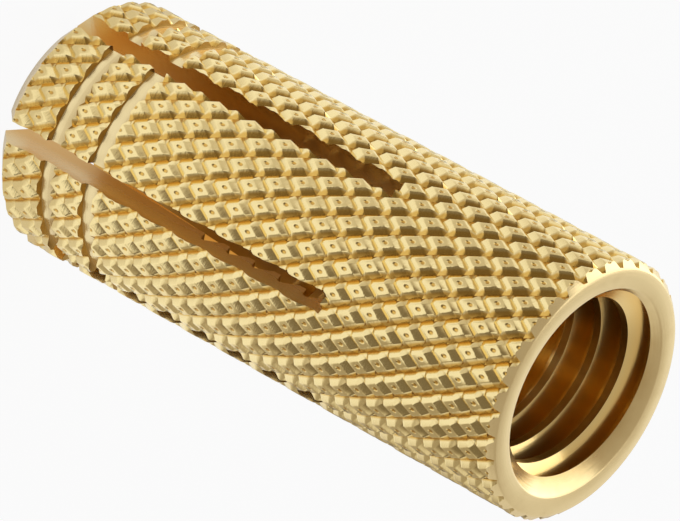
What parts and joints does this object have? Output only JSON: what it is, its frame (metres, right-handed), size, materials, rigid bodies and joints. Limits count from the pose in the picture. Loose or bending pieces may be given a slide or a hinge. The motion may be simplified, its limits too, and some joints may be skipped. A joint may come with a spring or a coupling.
{
  "type": "threaded insert",
  "caption": "Knurled brass expansion insert with an internal M8 thread at the mouth, a slotted far end and narrow ring grooves beside it.",
  "frame": {"origin": "middle of the slotted end face, on which the insert stands", "axes": "+Z along the bore axis towards the threaded mouth; one slot lies on +X"},
  "size_m": [0.01, 0.01, 0.025],
  "materials": {
    "brass": "bright turned brass"
  },
  "bodies": {
    "root": {"insert_body": "brass"}
  },
  "joints": []
}
